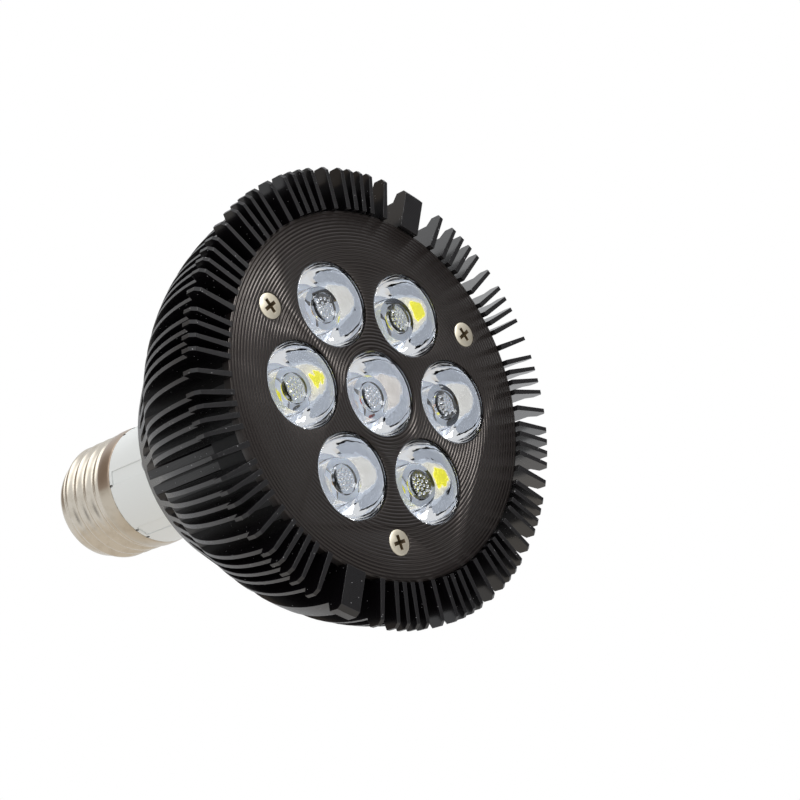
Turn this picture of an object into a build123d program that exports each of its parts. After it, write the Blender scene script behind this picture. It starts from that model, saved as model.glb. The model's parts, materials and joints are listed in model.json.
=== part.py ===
from build123d import *
import math
import os

os.makedirs("parts", exist_ok=True)

# Aquarium lamp: a finned reflector bulb with seven lens spots on an Edison screw cap.
# It stands on the front edges of its fins at z = 0 with the cap on top, as it hangs over a
# tank, so the light leaves toward -Z. All sizes are in millimetres. Heights are counted from
# the face of the front plate, and the whole lamp is lifted onto its fins at the end.

# Outline
LAMP_RADIUS = 47.3
FLANGE_CHAMFER = 0.9
FLANGE_DEPTH = 3.1
FLANGE_STEP = 0.8
BOWL_RADIUS = 45.4
SHOULDER_RADIUS = 35.8
SHOULDER_HEIGHT = 30.0
NECK_RADIUS = 26.8
SINK_TOP = 44.5

# Heat sink section: a core tube, eighteen sectors of fins, webs on stems, two thick lugs
CORE_RADIUS = 29.0
BORE_RADIUS = 20.0
WEB_RADIUS = 37.0
WEB_THICKNESS = 0.8
SECTOR = 20.0
FIN_STEP = 3.24
FIN_TIP_WIDTH = 0.75
FIN_ROOT_WIDTH = 1.1
LONE_FIN_ROOT_WIDTH = 1.6
STEM_WIDTH = 1.3
STEM_FLARE = 1.1
LUG_WIDTH = 4.7
LUG_ANGLES = (110.0, 290.0)
CORE_FLOOR = 4.0

# Front plate and its screws
PLATE_RADIUS = 38.1
PLATE_THICKNESS = 2.0
PLATE_SUNK = 1.0
PLATE_GAP = 0.15
HOLE_RADIUS = 8.9
FACE_SCREW_CIRCLE_RADIUS = 30.2
FACE_SCREW_ANGLES = (90.0, 210.0, 330.0)
FACE_SCREW_HEAD = 5.4
FACE_SCREW_SHANK = 2.9
FACE_SCREW_LENGTH = 7.5

# Lenses on a centre spot and a ring
LENS_CIRCLE_RADIUS = 20.12
LENS_COUNT = 6
LENS_RADIUS = 8.72
LENS_SET_BACK = 0.2
LENS_SHOULDER = 0.95
LENS_SHOULDER_DEPTH = 1.0
LENS_BACK_RADIUS = 5.8
LENS_BULGE = 0.45
LENS_SEAT = 0.62
LENS_LENGTH = 11.8
LENS_POCKET_RADIUS = 4.8
LENS_CEILING_RADIUS = 4.4
LENS_POCKET_DEPTH = 6.8

# Lens tray, board and emitters
TRAY_RADIUS = 35.2
TRAY_WALL = 1.4
TRAY_PLATE = 2.2
POCKET_GAP = 0.2
SEAT_GAP = 0.2
BOSS_RADIUS = 3.2
POST_RADIUS = 3.0
BOARD_GAP = 0.8
BOARD_THICKNESS = 1.6
BOARD_SET = 12.6
PAD_THICKNESS = 0.4
PAD_MARGIN = 0.5
EMITTER_RADIUS = 3.9
EMITTER_HEIGHT = 1.8
DOME_RADIUS = 2.6
DOME_HEIGHT = 2.4
DOME_BAND = 0.8
DOME_TIP_RADIUS = 1.2
BOARD_SCREW_CIRCLE_RADIUS = 25.6
BOARD_SCREW_ANGLES = (30.0, 150.0, 270.0)
BOARD_SCREW_HEAD = 4.6
BOARD_SCREW_SHANK = 2.4
LEAD_RADIUS = 0.65
LEAD_HOLE = 0.9

# Plastic driver housing and collar
HOUSING_WALL = 1.6
HOUSING_GAP = 0.2
HOUSING_RIM = 2.0
HOUSING_RIM_INSET = 2.4
COLLAR_RADIUS = 13.4
COLLAR_START = 55.0
COLLAR_TOP = 74.0
COLLAR_PANELS = 6
PANEL_DEPTH = 0.25
NECK_CLEARANCE = 0.4
REAR_SCREW_ANGLES = (50.0, 170.0, 290.0)
REAR_SCREW_HEAD = 4.2
REAR_SCREW_SHANK = 2.2
REAR_SCREW_LENGTH = 8.0

# Edison screw cap: 26 mm knuckle thread, seven turns to the inch
THREAD_CREST = 13.1
THREAD_DEPTH = 1.0
THREAD_PITCH = 25.4 / 7.0
THREAD_RIDGES = 4
SHELL_WALL = 0.35
SKIRT_RADIUS = 13.45
SKIRT_LENGTH = 3.6
SHELL_END_RADIUS = 8.4
SHELL_END_ROUND = 1.6
GLASS_LENGTH = 3.6
GLASS_RADIUS = 9.8
RIVET_RADIUS = 2.0
CONTACT_RADIUS = 4.8
CONTACT_THICKNESS = 1.6
CONTACT_EDGE = 0.5
CONTACT_FACE_RADIUS = 2.8

# Driver board and its parts
DRIVER_THICKNESS = 1.6
DRIVER_WIDTH = 33.0
DRIVER_NECK_WIDTH = 20.0
DRIVER_STEP_DROP = 4.0
COIL_WIDTH = 16.0
COIL_DEPTH = 8.0
COIL_HEIGHT = 7.0
FERRITE_WIDTH = 13.0
FERRITE_DEPTH = 10.0
FERRITE_HEIGHT = 12.0
INPUT_CAN_RADIUS = 4.0
INPUT_CAN_LENGTH = 14.0
OUTPUT_CAN_RADIUS = 3.5
OUTPUT_CAN_LENGTH = 11.0
CAN_CHAMFER = 0.4
FILM_WIDTH = 12.0
FILM_DEPTH = 6.0
FILM_HEIGHT = 11.0
FILM_ROUND = 0.8
DRUM_RADIUS = 4.0
DRUM_LENGTH = 6.0
DRUM_WAIST = 3.0
DRUM_RIM = 1.0
CHIP_WIDTH = 5.0
CHIP_DEPTH = 1.6
CHIP_HEIGHT = 6.0
PART_MARGIN = 3.0

# Stations that follow from the sizes above
PLATE_BACK = PLATE_THICKNESS
POCKET_RADIUS = TRAY_RADIUS + POCKET_GAP
BOARD_RADIUS = TRAY_RADIUS - TRAY_WALL - BOARD_GAP
TRAY_FACE = PLATE_BACK + LENS_SHOULDER_DEPTH
BOARD_TOP = BOARD_SET + BOARD_THICKNESS
POCKET_FLOOR = BOARD_TOP + PAD_THICKNESS
CORE_BACK = POCKET_FLOOR + CORE_FLOOR
HOUSING_RADIUS = BORE_RADIUS - HOUSING_GAP
HOUSING_RIM_RADIUS = NECK_RADIUS - HOUSING_RIM_INSET
REAR_SCREW_CIRCLE_RADIUS = (BORE_RADIUS + HOUSING_RIM_RADIUS) / 2
RIM_TOP = SINK_TOP + HOUSING_RIM
COLLAR_BORE = COLLAR_RADIUS - HOUSING_WALL
SHOULDER_OUT = LENS_RADIUS + LENS_SHOULDER
THREAD_ROOT = THREAD_CREST - THREAD_DEPTH
THREAD_START = COLLAR_TOP + SKIRT_LENGTH
SHELL_TOP = THREAD_START + (THREAD_RIDGES + 0.6) * THREAD_PITCH
SHELL_END = SHELL_TOP + SHELL_END_ROUND
GLASS_TOP = SHELL_END + GLASS_LENGTH
RIVET_END = SHELL_TOP - 0.8
BOARD_SCREW_SEAT = TRAY_FACE + TRAY_PLATE / 2
DRIVER_BOTTOM = CORE_BACK + HOUSING_WALL
DRIVER_STEP = SINK_TOP - 2.0
DRIVER_TOP = COLLAR_TOP - 4.0
LEAD_PLACE = LENS_CIRCLE_RADIUS / 2
LEAD_LINE = DRIVER_THICKNESS / 2 + LEAD_RADIUS


def polar(radius, angle, z=0.0):
    """Point at a radius and an angle in degrees."""
    turn = math.radians(angle)
    return (radius * math.cos(turn), radius * math.sin(turn), z)


def tube(outer, inner, low, high):
    """Ring between two radii from a low to a high station."""
    ring = Circle(outer) - Circle(inner)
    return Pos(0, 0, low) * extrude(ring, high - low)


def rod(radius, low, high, x=0.0, y=0.0):
    """Round bar along Z."""
    return Pos(x, y, low) * extrude(Circle(radius), high - low)


def turned(points):
    """Revolve a closed profile given as (radius, height) points."""
    outline = Polyline(*points, close=True)
    return revolve(Plane.XZ * make_face(outline), Axis.Z)


def ray_blade(inner, outer, root, tip, angle):
    """Straight-sided radial fin in the section, thinner at its tip."""
    corners = [(inner, -root / 2), (outer, -tip / 2), (outer, tip / 2), (inner, root / 2)]
    return Rot(0, 0, angle) * make_face(Polyline(*corners, close=True))


def arc_web(start, end):
    """Thin arc that carries the fins between two angles."""
    inner = WEB_RADIUS - WEB_THICKNESS
    span = end - start
    edges = [
        CenterArc((0, 0), WEB_RADIUS, start, span),
        Line(polar(WEB_RADIUS, end), polar(inner, end)),
        CenterArc((0, 0), inner, end, -span),
        Line(polar(inner, start), polar(WEB_RADIUS, start)),
    ]
    return make_face(edges)


def stem(angle):
    """Leg from the core to a web, flared where it leaves the core."""
    foot = CORE_RADIUS - 1.0
    knee = CORE_RADIUS + STEM_FLARE
    top = WEB_RADIUS - WEB_THICKNESS / 2
    half = STEM_WIDTH / 2
    wide = half + STEM_FLARE
    corners = [(foot, -wide), (CORE_RADIUS, -wide), (knee, -half), (top, -half)]
    corners += [(r, -y) for r, y in reversed(corners)]
    return Rot(0, 0, angle) * make_face(Polyline(*corners, close=True))


def sink_section():
    """Extrusion section of the heat sink, filled to the centre."""
    pieces = []
    reach = LAMP_RADIUS + 1.0
    web_foot = WEB_RADIUS - WEB_THICKNESS / 2
    core_foot = CORE_RADIUS - 0.5
    group = (-1.5 * FIN_STEP, -0.5 * FIN_STEP, 0.5 * FIN_STEP, 1.5 * FIN_STEP)
    for lug in LUG_ANGLES:
        pieces.append(ray_blade(core_foot, reach, LUG_WIDTH, LUG_WIDTH, lug))
        # fins that stand straight on the core, every second sector from the lug
        for k in range(5):
            place = lug + SECTOR / 2 + 2 * SECTOR * k
            pieces.append(ray_blade(core_foot, reach, LONE_FIN_ROOT_WIDTH, FIN_TIP_WIDTH, place))
        # webs between them: nine fins on five stems
        for k in range(4):
            middle = lug + 1.5 * SECTOR + 2 * SECTOR * k
            offsets = [0.0] + [side * SECTOR / 2 + step for side in (-1, 1) for step in group]
            edge = max(offsets) + math.degrees(FIN_ROOT_WIDTH / 2 / WEB_RADIUS)
            pieces.append(arc_web(middle - edge, middle + edge))
            for offset in offsets:
                pieces.append(ray_blade(web_foot, reach, FIN_ROOT_WIDTH, FIN_TIP_WIDTH, middle + offset))
            inner_stem = SECTOR / 2 - 1.5 * FIN_STEP
            outer_stem = SECTOR / 2 + 0.5 * FIN_STEP
            for offset in (-outer_stem, -inner_stem, 0.0, inner_stem, outer_stem):
                pieces.append(stem(middle + offset))
    return Circle(CORE_RADIUS) + pieces


def sink_envelope():
    """Turned outside of the heat sink: flange, bowl, cone and neck."""
    front = -PLATE_SUNK
    flange_end = front + FLANGE_DEPTH
    bowl_start = flange_end + FLANGE_STEP
    flange = Polyline(
        (0, front), (LAMP_RADIUS - FLANGE_CHAMFER, front), (LAMP_RADIUS, front + FLANGE_CHAMFER),
        (LAMP_RADIUS, flange_end), (BOWL_RADIUS, bowl_start),
    )
    bowl = TangentArc((BOWL_RADIUS, bowl_start), (SHOULDER_RADIUS, SHOULDER_HEIGHT), tangent=(0, 1))
    back = Polyline(
        (SHOULDER_RADIUS, SHOULDER_HEIGHT), (NECK_RADIUS, SINK_TOP), (0, SINK_TOP), (0, front)
    )
    face = make_face([flange, bowl, back])
    return revolve(Plane.XZ * face, Axis.Z)


def heatsink():
    """Extruded section turned to shape, with the front pocket, rear bore and tapped holes."""
    body = Pos(0, 0, -PLATE_SUNK) * extrude(sink_section(), SINK_TOP + PLATE_SUNK)
    body = body & sink_envelope()
    cuts = [
        rod(PLATE_RADIUS + PLATE_GAP, -PLATE_SUNK, PLATE_BACK),
        rod(POCKET_RADIUS, 0, POCKET_FLOOR),
        rod(BORE_RADIUS, CORE_BACK, SINK_TOP + 1),
    ]
    for angle in BOARD_SCREW_ANGLES:
        x, y, _ = polar(BOARD_SCREW_CIRCLE_RADIUS, angle)
        cuts.append(rod(BOARD_SCREW_SHANK / 2, 0, board_screw_end() + 1.0, x, y))
    for side in (-1, 1):
        cuts.append(rod(LEAD_HOLE, 0, CORE_BACK + 1, side * LEAD_PLACE, LEAD_LINE))
    for angle in REAR_SCREW_ANGLES:
        x, y, _ = polar(REAR_SCREW_CIRCLE_RADIUS, angle)
        cuts.append(rod(REAR_SCREW_SHANK / 2, RIM_TOP - REAR_SCREW_LENGTH - 1.0, SINK_TOP + 1, x, y))
    return body - cuts


def board_screw_end():
    """Station where the board screws end inside the core."""
    return POCKET_FLOOR + 6.0


def spots():
    """Centres of the seven lenses: one in the middle, then the ring."""
    ring = [polar(LENS_CIRCLE_RADIUS, 360.0 / LENS_COUNT * k)[:2] for k in range(LENS_COUNT)]
    return [(0.0, 0.0)] + ring


def countersink(extra=0.0):
    """Head cone of a face screw, its flat at z = 0."""
    head = FACE_SCREW_HEAD / 2 + extra
    shank = FACE_SCREW_SHANK / 2 + extra
    return turned([(0, 0), (head, 0), (head, 0.3), (shank, 0.3 + head - shank), (0, 0.3 + head - shank)])


def front_plate():
    """Turned plate with seven lens holes and three countersunk holes."""
    plate = rod(PLATE_RADIUS, 0, PLATE_THICKNESS)
    for x, y in spots():
        plate -= rod(HOLE_RADIUS, -1, PLATE_THICKNESS + 1, x, y)
    for angle in FACE_SCREW_ANGLES:
        x, y, _ = polar(FACE_SCREW_CIRCLE_RADIUS, angle)
        plate -= Pos(x, y, 0) * countersink(0.05)
        plate -= rod(FACE_SCREW_SHANK / 2 + 0.05, 0, PLATE_THICKNESS + 1, x, y)
    return plate


def lens():
    """Clear spot lens: flat front, flange, reflecting side and a wide emitter pocket."""
    front = LENS_SET_BACK
    back = front + LENS_LENGTH
    neck = LENS_RADIUS - LENS_SEAT
    waist = (neck + LENS_BACK_RADIUS) / 2 + LENS_BULGE
    top = back - LENS_POCKET_DEPTH
    return turned([
        (0, front), (LENS_RADIUS, front), (LENS_RADIUS, PLATE_BACK),
        (SHOULDER_OUT, PLATE_BACK), (SHOULDER_OUT, TRAY_FACE), (neck, TRAY_FACE),
        (waist, (TRAY_FACE + back) / 2), (LENS_BACK_RADIUS, back),
        (LENS_POCKET_RADIUS, back), (LENS_CEILING_RADIUS, top), (0, top),
    ])


def lens_tray():
    """Moulded tray that seats the lenses, with a wall, screw bosses and posts to the board."""
    tray = rod(TRAY_RADIUS, TRAY_FACE, TRAY_FACE + TRAY_PLATE)
    tray += tube(TRAY_RADIUS, TRAY_RADIUS - TRAY_WALL, PLATE_BACK, BOARD_SET)
    for angle in FACE_SCREW_ANGLES:
        x, y, _ = polar(FACE_SCREW_CIRCLE_RADIUS, angle)
        tray += rod(BOSS_RADIUS, PLATE_BACK, FACE_SCREW_LENGTH + 1.0, x, y)
    for angle in BOARD_SCREW_ANGLES:
        x, y, _ = polar(BOARD_SCREW_CIRCLE_RADIUS, angle)
        tray += rod(POST_RADIUS, TRAY_FACE, BOARD_SET, x, y)
    for x, y in spots():
        tray -= rod(LENS_RADIUS - LENS_SEAT + SEAT_GAP, TRAY_FACE - 1, BOARD_SET, x, y)
    for angle in FACE_SCREW_ANGLES:
        x, y, _ = polar(FACE_SCREW_CIRCLE_RADIUS, angle)
        tray -= rod(FACE_SCREW_SHANK / 2, 0, FACE_SCREW_LENGTH, x, y)
    for angle in BOARD_SCREW_ANGLES:
        x, y, _ = polar(BOARD_SCREW_CIRCLE_RADIUS, angle)
        tray -= rod(BOARD_SCREW_SHANK / 2, 0, BOARD_SET + 1, x, y)
        tray -= rod(BOARD_SCREW_HEAD / 2 + 0.1, 0, BOARD_SCREW_SEAT, x, y)
    return tray


def led_board():
    """Round metal-core board with screw and lead holes."""
    board = rod(BOARD_RADIUS, BOARD_SET, BOARD_TOP)
    for angle in BOARD_SCREW_ANGLES:
        x, y, _ = polar(BOARD_SCREW_CIRCLE_RADIUS, angle)
        board -= rod(BOARD_SCREW_SHANK / 2, 0, BOARD_TOP + 1, x, y)
    for side in (-1, 1):
        board -= rod(LEAD_HOLE, 0, BOARD_TOP + 1, side * LEAD_PLACE, LEAD_LINE)
    return board


def thermal_pad():
    """Soft pad under the whole board."""
    pad = rod(BOARD_RADIUS - PAD_MARGIN, BOARD_TOP, POCKET_FLOOR)
    for angle in BOARD_SCREW_ANGLES:
        x, y, _ = polar(BOARD_SCREW_CIRCLE_RADIUS, angle)
        pad -= rod(BOARD_SCREW_SHANK / 2, 0, POCKET_FLOOR + 1, x, y)
    for side in (-1, 1):
        pad -= rod(LEAD_HOLE, 0, POCKET_FLOOR + 1, side * LEAD_PLACE, LEAD_LINE)
    return pad


def emitter():
    """Round high-power diode: body on the board, dome in the lens pocket."""
    body = rod(EMITTER_RADIUS, BOARD_SET - EMITTER_HEIGHT, BOARD_SET)
    base = BOARD_SET - EMITTER_HEIGHT
    tip = base - DOME_HEIGHT
    return body + turned([
        (0, tip), (DOME_TIP_RADIUS, tip), (DOME_RADIUS, base - DOME_BAND), (DOME_RADIUS, base), (0, base),
    ])


def face_screw():
    """Countersunk screw of the front plate with a cross recess, head flat at z = 0."""
    screw = countersink() + rod(FACE_SCREW_SHANK / 2, 0.3, FACE_SCREW_LENGTH)
    size = FACE_SCREW_HEAD * 0.55
    cross = Rectangle(size, size * 0.24) + Rectangle(size * 0.24, size)
    return screw - extrude(cross, 1.1)


def pan_screw(head, shank, length):
    """Low-headed screw along +Z: head below z = 0, shank up to its length."""
    return rod(head / 2, -head * 0.35, 0) + rod(shank / 2, 0, length)


def on_circle(shape, radius, angles, z=0.0):
    """Group of copies of one solid on a circle."""
    return Compound(children=[Pos(*polar(radius, a, z)) * Rot(0, 0, a) * shape for a in angles])


def housing_line(inset):
    """Profile points of the driver housing, moved inward by an inset."""
    return [
        (HOUSING_RADIUS - inset, RIM_TOP),
        (HOUSING_RADIUS - inset, RIM_TOP + 0.6),
        (COLLAR_RADIUS - inset, COLLAR_START),
    ]


def driver_housing():
    """White plastic housing: cup in the core, rim, cone, collar and the neck in the cap."""
    neck = SKIRT_RADIUS - SHELL_WALL
    neck_top = THREAD_START - NECK_CLEARANCE
    outer = [(0, CORE_BACK), (HOUSING_RADIUS, CORE_BACK), (HOUSING_RADIUS, SINK_TOP)]
    outer += [(HOUSING_RIM_RADIUS, SINK_TOP), (HOUSING_RIM_RADIUS, RIM_TOP)]
    outer += housing_line(0.0)
    outer += [(COLLAR_RADIUS, COLLAR_TOP), (neck, COLLAR_TOP), (neck, neck_top), (0, neck_top)]
    inner = [(0, DRIVER_BOTTOM), (HOUSING_RADIUS - HOUSING_WALL, DRIVER_BOTTOM)]
    inner += housing_line(HOUSING_WALL)
    inner += [(COLLAR_BORE, neck_top + 1), (0, neck_top + 1)]
    housing = turned(outer) - turned(inner)
    for side in (-1, 1):
        housing -= rod(LEAD_HOLE, 0, DRIVER_BOTTOM + 1, side * LEAD_PLACE, LEAD_LINE)
    for angle in REAR_SCREW_ANGLES:
        x, y, _ = polar(REAR_SCREW_CIRCLE_RADIUS, angle)
        housing -= rod(REAR_SCREW_SHANK / 2 + 0.1, SINK_TOP - 1, RIM_TOP + 1, x, y)
    # pairs of shallow panels along the collar, as the mould leaves them
    panel = Pos(COLLAR_RADIUS, 0, (COLLAR_START + COLLAR_TOP) / 2) * Box(
        2 * PANEL_DEPTH, 3.0, COLLAR_TOP - COLLAR_START - 2.0
    )
    for k in range(COLLAR_PANELS):
        housing -= Rot(0, 0, 360.0 / COLLAR_PANELS * k) * panel
    return housing


def screw_shell():
    """Nickelled shell of the screw cap: skirt, turned ridges at the thread pitch and a rolled end."""
    flat = THREAD_PITCH * 0.22
    outer = [(SKIRT_RADIUS, COLLAR_TOP), (SKIRT_RADIUS, THREAD_START)]
    for k in range(THREAD_RIDGES):
        valley = THREAD_START + THREAD_PITCH * (k + 0.5)
        crest = valley + THREAD_PITCH / 2
        outer += [(THREAD_ROOT, valley), (THREAD_CREST, crest - flat / 2), (THREAD_CREST, crest + flat / 2)]
    outer += [(THREAD_ROOT, SHELL_TOP), (THREAD_ROOT - SHELL_END_ROUND, SHELL_END)]
    outer += [(SHELL_END_RADIUS, SHELL_END)]
    bore = THREAD_ROOT - SHELL_WALL
    skirt = SKIRT_RADIUS - SHELL_WALL
    inner = [
        (SHELL_END_RADIUS, SHELL_END - SHELL_WALL), (bore - SHELL_END_ROUND, SHELL_END - SHELL_WALL),
        (bore, SHELL_TOP - SHELL_WALL), (bore, THREAD_START + SHELL_WALL),
        (skirt, THREAD_START - SHELL_WALL), (skirt, COLLAR_TOP),
    ]
    return turned(outer + inner)


def cap_insulator():
    """Glass insulator that fills the end of the shell and holds the contact."""
    inside = SHELL_END - SHELL_WALL
    return turned([
        (RIVET_RADIUS, RIVET_END), (GLASS_RADIUS, RIVET_END), (GLASS_RADIUS, inside),
        (SHELL_END_RADIUS, inside), (SHELL_END_RADIUS, SHELL_END + 0.3),
        (CONTACT_RADIUS + 0.6, GLASS_TOP - 0.4), (CONTACT_RADIUS + 0.1, GLASS_TOP), (RIVET_RADIUS, GLASS_TOP),
    ])


def centre_contact():
    """Brass contact button with its rivet down through the insulator."""
    top = GLASS_TOP + CONTACT_THICKNESS
    return turned([
        (0, top), (0, RIVET_END), (RIVET_RADIUS, RIVET_END), (RIVET_RADIUS, GLASS_TOP),
        (CONTACT_RADIUS, GLASS_TOP), (CONTACT_RADIUS, GLASS_TOP + CONTACT_EDGE),
        (CONTACT_FACE_RADIUS, top),
    ])


def driver_board():
    """Upright driver board, wide in the cup and narrow in the collar."""
    half = DRIVER_WIDTH / 2
    slim = DRIVER_NECK_WIDTH / 2
    low = DRIVER_BOTTOM
    knee = DRIVER_STEP + DRIVER_STEP_DROP
    points = [(-half, low), (half, low), (half, DRIVER_STEP), (slim, knee)]
    points += [(slim, DRIVER_TOP), (-slim, DRIVER_TOP), (-slim, knee), (-half, DRIVER_STEP)]
    face = Plane.XZ * make_face(Polyline(*points, close=True))
    return extrude(face, DRIVER_THICKNESS / 2, both=True)


def on_board(width, depth, height, side):
    """Block that stands on one face of the driver board, its middle at z = 0."""
    return Pos(0, side * (DRIVER_THICKNESS + depth) / 2, 0) * Box(width, depth, height)


def transformer():
    """Wound transformer: ferrite frame with a taped coil."""
    frame = on_board(FERRITE_WIDTH, FERRITE_DEPTH, FERRITE_HEIGHT, 1)
    gap = (FERRITE_DEPTH - COIL_DEPTH) / 2
    coil = Pos(0, gap, 0) * on_board(COIL_WIDTH, COIL_DEPTH, COIL_HEIGHT, 1)
    return Pos(0, 0, DRIVER_BOTTOM + FERRITE_HEIGHT) * (frame + coil)


def can_capacitor(x, z, side, radius, length):
    """Electrolytic can lying along the board."""
    y = side * (DRIVER_THICKNESS / 2 + radius)
    can = rod(radius, z, z + length, x, y)
    return chamfer(can.edges(), CAN_CHAMFER)


def film_capacitor():
    """Box film capacitor."""
    body = on_board(FILM_WIDTH, FILM_DEPTH, FILM_HEIGHT, -1)
    body = fillet(body.edges().filter_by(Axis.Y), FILM_ROUND)
    return Pos(-FILM_WIDTH / 2, 0, DRIVER_BOTTOM + FILM_HEIGHT - FILM_ROUND) * body


def inductor():
    """Drum inductor on the narrow end."""
    groove = tube(DRUM_RADIUS + DRUM_RIM, DRUM_WAIST, DRUM_RIM, DRUM_LENGTH - DRUM_RIM)
    spool = rod(DRUM_RADIUS, 0, DRUM_LENGTH) - groove
    return Pos(-DRUM_WAIST, -DRIVER_THICKNESS / 2, DRIVER_TOP - 2 * DRUM_RADIUS) * Rot(90, 0, 0) * spool


def controller():
    """Control chip flat on the board."""
    place = DRIVER_BOTTOM + FILM_HEIGHT + CHIP_HEIGHT + PART_MARGIN
    return Pos(0, 0, place) * on_board(CHIP_WIDTH, CHIP_DEPTH, CHIP_HEIGHT, -1)


def board_lead(side):
    """Straight lead beside the driver board, down through the core floor into the lens board."""
    return rod(LEAD_RADIUS, BOARD_SET - 0.6, DRIVER_BOTTOM + 5, side * LEAD_PLACE, LEAD_LINE)


def contact_lead():
    """Straight lead from the driver board up to the rivet of the centre contact."""
    return rod(LEAD_RADIUS, DRIVER_TOP - 4, RIVET_END, 0, LEAD_LINE)


def shell_lead():
    """Lead from the driver board, bent over the housing's neck to the inside of the cap."""
    wall = THREAD_ROOT - SHELL_WALL - 0.2
    over = THREAD_START - NECK_CLEARANCE + LEAD_RADIUS
    side = 6.0
    path = Polyline(
        (side, -LEAD_LINE, DRIVER_TOP - 4), (side, -LEAD_LINE, over),
        (side, -math.sqrt(wall ** 2 - (side + LEAD_RADIUS) ** 2), over),
    )
    return sweep(Plane(path @ 0, z_dir=path % 0) * Circle(LEAD_RADIUS), path=path, transition=Transition.RIGHT)


def lifted(shape):
    """Shape raised so that the fins stand on the ground, each of its solids moved for itself."""
    solids = [Pos(0, 0, PLATE_SUNK) * solid for solid in shape.solids()]
    return solids[0] if len(solids) == 1 else Compound(children=solids)


nodes = {
    "heatsink": heatsink(),
    "front_plate": front_plate(),
    "lens_tray": lens_tray(),
    "led_board": led_board(),
    "thermal_pad": thermal_pad(),
    "face_screws": on_circle(face_screw(), FACE_SCREW_CIRCLE_RADIUS, FACE_SCREW_ANGLES),
    "board_screws": on_circle(
        pan_screw(BOARD_SCREW_HEAD, BOARD_SCREW_SHANK, board_screw_end() - BOARD_SCREW_SEAT),
        BOARD_SCREW_CIRCLE_RADIUS, BOARD_SCREW_ANGLES, BOARD_SCREW_SEAT,
    ),
    "rear_screws": on_circle(
        Rot(180, 0, 0) * pan_screw(REAR_SCREW_HEAD, REAR_SCREW_SHANK, REAR_SCREW_LENGTH),
        REAR_SCREW_CIRCLE_RADIUS, REAR_SCREW_ANGLES, RIM_TOP,
    ),
    "driver_housing": driver_housing(),
    "screw_shell": screw_shell(),
    "cap_insulator": cap_insulator(),
    "centre_contact": centre_contact(),
    "driver_board": driver_board(),
    "transformer": transformer(),
    "input_capacitor": can_capacitor(
        DRIVER_NECK_WIDTH / 2, DRIVER_BOTTOM + PART_MARGIN, -1, INPUT_CAN_RADIUS, INPUT_CAN_LENGTH
    ),
    "output_capacitor": can_capacitor(
        PART_MARGIN, DRIVER_TOP - 2 * OUTPUT_CAN_LENGTH, 1, OUTPUT_CAN_RADIUS, OUTPUT_CAN_LENGTH
    ),
    "film_capacitor": film_capacitor(),
    "inductor": inductor(),
    "controller": controller(),
    "plus_lead": board_lead(1),
    "minus_lead": board_lead(-1),
    "contact_lead": contact_lead(),
    "shell_lead": shell_lead(),
}
spot_names = ("middle", "right", "upper_right", "upper_left", "left", "lower_left", "lower_right")
for name, (x, y) in zip(spot_names, spots()):
    nodes["lens_" + name] = Pos(x, y, 0) * lens()
    nodes["emitter_" + name] = Pos(x, y, 0) * emitter()

for name, shape in nodes.items():
    export_step(lifted(shape), "parts/" + name + ".step")
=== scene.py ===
import json
import logging
import math
from dataclasses import dataclass, field
from enum import Enum
from typing import Callable, Optional, Sequence

import bpy
from mathutils import Matrix, Vector


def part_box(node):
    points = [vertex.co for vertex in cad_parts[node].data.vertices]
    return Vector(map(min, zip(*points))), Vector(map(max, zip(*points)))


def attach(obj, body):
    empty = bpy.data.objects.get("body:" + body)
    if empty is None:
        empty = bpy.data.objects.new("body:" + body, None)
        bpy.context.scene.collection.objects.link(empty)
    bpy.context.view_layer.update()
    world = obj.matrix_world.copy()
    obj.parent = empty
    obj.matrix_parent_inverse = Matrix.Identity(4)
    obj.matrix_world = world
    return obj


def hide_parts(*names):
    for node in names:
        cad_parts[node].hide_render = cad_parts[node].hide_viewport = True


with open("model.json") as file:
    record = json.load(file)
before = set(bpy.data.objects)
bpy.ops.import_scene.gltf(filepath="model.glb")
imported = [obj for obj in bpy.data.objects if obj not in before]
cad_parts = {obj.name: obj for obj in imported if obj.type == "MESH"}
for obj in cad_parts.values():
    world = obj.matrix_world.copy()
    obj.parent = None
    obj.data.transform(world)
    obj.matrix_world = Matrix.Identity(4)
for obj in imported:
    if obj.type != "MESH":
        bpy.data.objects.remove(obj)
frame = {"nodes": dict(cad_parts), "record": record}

LOG = logging.getLogger("aquarium_lamp")
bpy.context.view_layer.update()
MM = 0.001
FACE_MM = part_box("front_plate")[0].z / MM
CAP_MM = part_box("screw_shell")[0].z / MM

Pair = tuple[float, float]
Triple = tuple[float, float, float]
Socket = bpy.types.NodeSocket
# a turned profile ends this far from the axis, and a flat cap closes it
AXIS_MM = 0.05
# vertices nearer than this, in metres, are welded
WELD = 0.000002


# Small helpers


def linear(hex_colour: str, strength: float = 1.0) -> tuple[float, float, float, float]:
    """Turn an sRGB hex colour into linear RGBA.

    Args:
        hex_colour: colour such as "#2a2a2e".
        strength: factor on the three colour channels.

    Returns:
        The four linear channels, the last one 1.
    """
    channels = [int(hex_colour[i : i + 2], 16) / 255 for i in (1, 3, 5)]
    curve = [c / 12.92 if c <= 0.04045 else ((c + 0.055) / 1.055) ** 2.4 for c in channels]
    return (curve[0] * strength, curve[1] * strength, curve[2] * strength, 1.0)


def add_node(
    tree: bpy.types.NodeTree,
    kind: str,
    settings: Optional[dict] = None,
    values: Optional[dict] = None,
    links: Optional[dict] = None,
) -> bpy.types.Node:
    """Add one shader node.

    Args:
        tree: node tree it goes into.
        kind: Blender's node type name.
        settings: properties of the node itself.
        values: plain values for its inputs, by name or index.
        links: output sockets that feed its inputs, by name or index.

    Returns:
        The new node.
    """
    made = tree.nodes.new(kind)
    for key, value in (settings or {}).items():
        setattr(made, key, value)
    for key, value in (values or {}).items():
        made.inputs[key].default_value = value
    for key, socket in (links or {}).items():
        tree.links.new(socket, made.inputs[key])
    return made


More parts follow.
